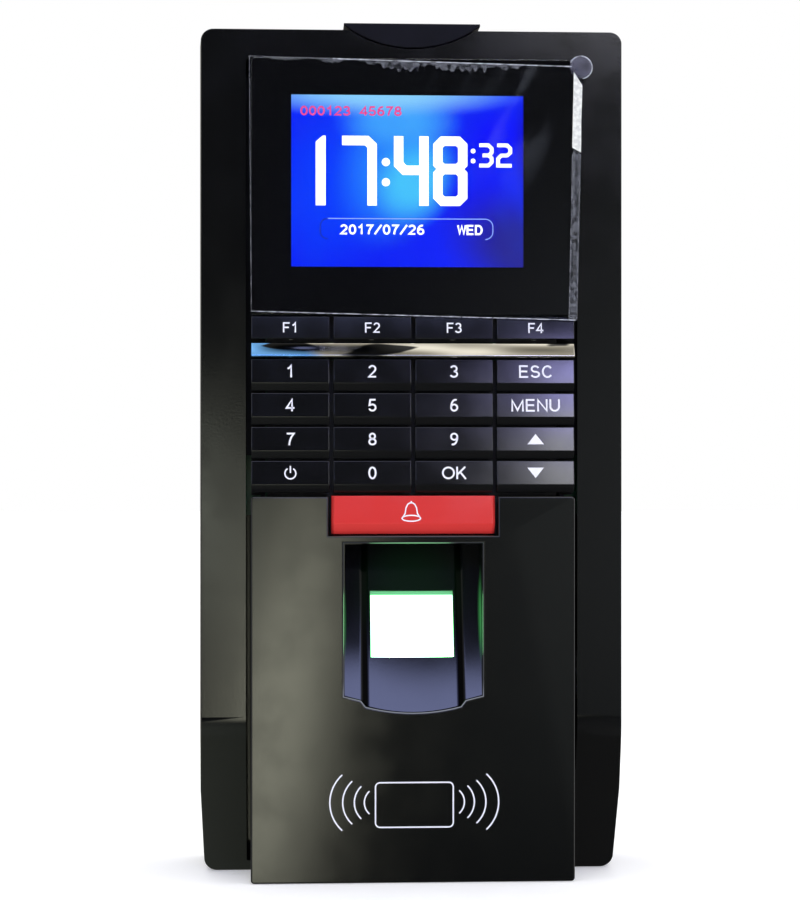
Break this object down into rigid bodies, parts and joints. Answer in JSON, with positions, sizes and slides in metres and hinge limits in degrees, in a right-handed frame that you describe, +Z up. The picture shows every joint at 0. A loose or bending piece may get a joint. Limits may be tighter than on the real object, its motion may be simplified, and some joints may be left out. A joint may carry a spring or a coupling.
{
  "type": "fingerprint access terminal",
  "caption": "Wall-mounted access terminal with a colour screen, keypad, doorbell key, finger recess with lit sensor window and card reader, hung on a hooked wall plate.",
  "frame": {"origin": "centre of the wall plate's four screw holes, on its back face", "axes": "+Z up, +Y into the wall, the screen and keys face -Y, +X to the right seen from the front"},
  "size_m": [0.091, 0.0365, 0.1818],
  "materials": {
    "zinc_steel": "zinc-plated pressed sheet",
    "screw_steel": "nickel-plated",
    "case_black": "finely textured black ABS",
    "panel_black": "smooth satin black ABS",
    "frame_black": "satin black ABS",
    "chrome": "bright chrome plating on plastic",
    "lens_glass": "high-gloss smoked acrylic",
    "clear_film": "thin clear shipping film",
    "lcd_steel": "bright rolled sheet",
    "lcd_image": "lit colour liquid-crystal panel",
    "screen_white": "lit pixels",
    "screen_red": "lit pixels",
    "white_plastic": "natural nylon",
    "amber_film": "polyimide flex circuit",
    "key_black": "satin UV-coated black keycap",
    "legend_white": "printed white legend",
    "bell_red": "satin red keycap",
    "silicone_rubber": "moulded silicone",
    "cover_rubber": "moulded dust cover",
    "circuit_board": "green solder mask",
    "copper": "etched copper",
    "chip_black": "moulded epoxy",
    "relay_blue": "moulded case",
    "bezel_gloss": "polished black ABS",
    "lit_prism": "polished glass lit from behind by green light"
  },
  "bodies": {
    "wall_plate": {"wall_plate": "zinc_steel"},
    "terminal": {"rear_shell": "case_black", "front_shell": "case_black", "center_frame": "frame_black", "lower_panel": "panel_black", "case_screws": "screw_steel", "chrome_trim": "chrome", "screen_lens": "lens_glass", "protective_film": "clear_film", "lcd_frame": "lcd_steel", "lcd_screen": "lcd_image", "lcd_backlight": "white_plastic", "lcd_ribbon_cable": "amber_film", "keypad_mat": "silicone_rubber", "keypad_board": "circuit_board", "snap_domes": "lcd_steel", "keypad_screws": "screw_steel", "sensor_bezel": "bezel_gloss", "sensor_prism": "lit_prism", "sensor_body": "frame_black", "sensor_board": "circuit_board", "sensor_cable": "white_plastic", "card_reader_board": "circuit_board", "card_reader_coil": "copper", "main_board": "circuit_board", "board_screws": "screw_steel", "board_chips": "chip_black", "wiring_headers": "white_plastic", "relay": "relay_blue", "buzzer": "chip_black", "coin_cell": "lcd_steel", "coin_cell_holder": "chip_black", "usb_port": "lcd_steel", "speaker": "chip_black", "tamper_switch": "chip_black"},
    "lock_screw": {"lock_screw": "screw_steel"},
    "key_f1": {"key_f1": "key_black"},
    "key_f2": {"key_f2": "key_black"},
    "key_f3": {"key_f3": "key_black"},
    "key_f4": {"key_f4": "key_black"},
    "key_1": {"key_1": "key_black"},
    "key_2": {"key_2": "key_black"},
    "key_3": {"key_3": "key_black"},
    "key_esc": {"key_esc": "key_black"},
    "key_4": {"key_4": "key_black"},
    "key_5": {"key_5": "key_black"},
    "key_6": {"key_6": "key_black"},
    "key_menu": {"key_menu": "key_black"},
    "key_7": {"key_7": "key_black"},
    "key_8": {"key_8": "key_black"},
    "key_9": {"key_9": "key_black"},
    "key_up": {"key_up": "key_black"},
    "key_power": {"key_power": "key_black"},
    "key_0": {"key_0": "key_black"},
    "key_ok": {"key_ok": "key_black"},
    "key_down": {"key_down": "key_black"},
    "key_bell": {"key_bell": "bell_red"},
    "usb_cover": {"usb_cover": "cover_rubber"},
    "tamper_plunger": {"tamper_plunger": "white_plastic"}
  },
  "joints": [
    {"name": "terminal_lift", "type": "slide", "parent": "wall_plate", "child": "terminal", "axis": [0, 0, 1], "range_m": [0, 0.005]},
    {"name": "lock_screw_out", "type": "slide", "parent": "wall_plate", "child": "lock_screw", "axis": [0, 0, -1], "range_m": [0, 0.008]},
    {"name": "key_f1_press", "type": "slide", "parent": "terminal", "child": "key_f1", "axis": [0, 1, 0], "range_m": [0, 0.0009], "stiffness_N_per_m": 400, "springref_m": -0.002},
    {"name": "key_f2_press", "type": "slide", "parent": "terminal", "child": "key_f2", "axis": [0, 1, 0], "range_m": [0, 0.0009], "stiffness_N_per_m": 400, "springref_m": -0.002},
    {"name": "key_f3_press", "type": "slide", "parent": "terminal", "child": "key_f3", "axis": [0, 1, 0], "range_m": [0, 0.0009], "stiffness_N_per_m": 400, "springref_m": -0.002},
    {"name": "key_f4_press", "type": "slide", "parent": "terminal", "child": "key_f4", "axis": [0, 1, 0], "range_m": [0, 0.0009], "stiffness_N_per_m": 400, "springref_m": -0.002},
    {"name": "key_1_press", "type": "slide", "parent": "terminal", "child": "key_1", "axis": [0, 1, 0], "range_m": [0, 0.0009], "stiffness_N_per_m": 400, "springref_m": -0.002},
    {"name": "key_2_press", "type": "slide", "parent": "terminal", "child": "key_2", "axis": [0, 1, 0], "range_m": [0, 0.0009], "stiffness_N_per_m": 400, "springref_m": -0.002},
    {"name": "key_3_press", "type": "slide", "parent": "terminal", "child": "key_3", "axis": [0, 1, 0], "range_m": [0, 0.0009], "stiffness_N_per_m": 400, "springref_m": -0.002},
    {"name": "key_esc_press", "type": "slide", "parent": "terminal", "child": "key_esc", "axis": [0, 1, 0], "range_m": [0, 0.0009], "stiffness_N_per_m": 400, "springref_m": -0.002},
    {"name": "key_4_press", "type": "slide", "parent": "terminal", "child": "key_4", "axis": [0, 1, 0], "range_m": [0, 0.0009], "stiffness_N_per_m": 400, "springref_m": -0.002},
    {"name": "key_5_press", "type": "slide", "parent": "terminal", "child": "key_5", "axis": [0, 1, 0], "range_m": [0, 0.0009], "stiffness_N_per_m": 400, "springref_m": -0.002},
    {"name": "key_6_press", "type": "slide", "parent": "terminal", "child": "key_6", "axis": [0, 1, 0], "range_m": [0, 0.0009], "stiffness_N_per_m": 400, "springref_m": -0.002},
    {"name": "key_menu_press", "type": "slide", "parent": "terminal", "child": "key_menu", "axis": [0, 1, 0], "range_m": [0, 0.0009], "stiffness_N_per_m": 400, "springref_m": -0.002},
    {"name": "key_7_press", "type": "slide", "parent": "terminal", "child": "key_7", "axis": [0, 1, 0], "range_m": [0, 0.0009], "stiffness_N_per_m": 400, "springref_m": -0.002},
    {"name": "key_8_press", "type": "slide", "parent": "terminal", "child": "key_8", "axis": [0, 1, 0], "range_m": [0, 0.0009], "stiffness_N_per_m": 400, "springref_m": -0.002},
    {"name": "key_9_press", "type": "slide", "parent": "terminal", "child": "key_9", "axis": [0, 1, 0], "range_m": [0, 0.0009], "stiffness_N_per_m": 400, "springref_m": -0.002},
    {"name": "key_up_press", "type": "slide", "parent": "terminal", "child": "key_up", "axis": [0, 1, 0], "range_m": [0, 0.0009], "stiffness_N_per_m": 400, "springref_m": -0.002},
    {"name": "key_power_press", "type": "slide", "parent": "terminal", "child": "key_power", "axis": [0, 1, 0], "range_m": [0, 0.0009], "stiffness_N_per_m": 400, "springref_m": -0.002},
    {"name": "key_0_press", "type": "slide", "parent": "terminal", "child": "key_0", "axis": [0, 1, 0], "range_m": [0, 0.0009], "stiffness_N_per_m": 400, "springref_m": -0.002},
    {"name": "key_ok_press", "type": "slide", "parent": "terminal", "child": "key_ok", "axis": [0, 1, 0], "range_m": [0, 0.0009], "stiffness_N_per_m": 400, "springref_m": -0.002},
    {"name": "key_down_press", "type": "slide", "parent": "terminal", "child": "key_down", "axis": [0, 1, 0], "range_m": [0, 0.0009], "stiffness_N_per_m": 400, "springref_m": -0.002},
    {"name": "key_bell_press", "type": "slide", "parent": "terminal", "child": "key_bell", "axis": [0, 1, 0], "range_m": [0, 0.0009], "stiffness_N_per_m": 400, "springref_m": -0.002},
    {"name": "usb_cover_pull", "type": "slide", "parent": "terminal", "child": "usb_cover", "axis": [0, 0, 1], "range_m": [0, 0.014]},
    {"name": "tamper_plunger_slide", "type": "slide", "parent": "terminal", "child": "tamper_plunger", "axis": [0, 1, 0], "range_m": [-0.0005, 0.0015], "stiffness_N_per_m": 150, "springref_m": 0.003}
  ]
}
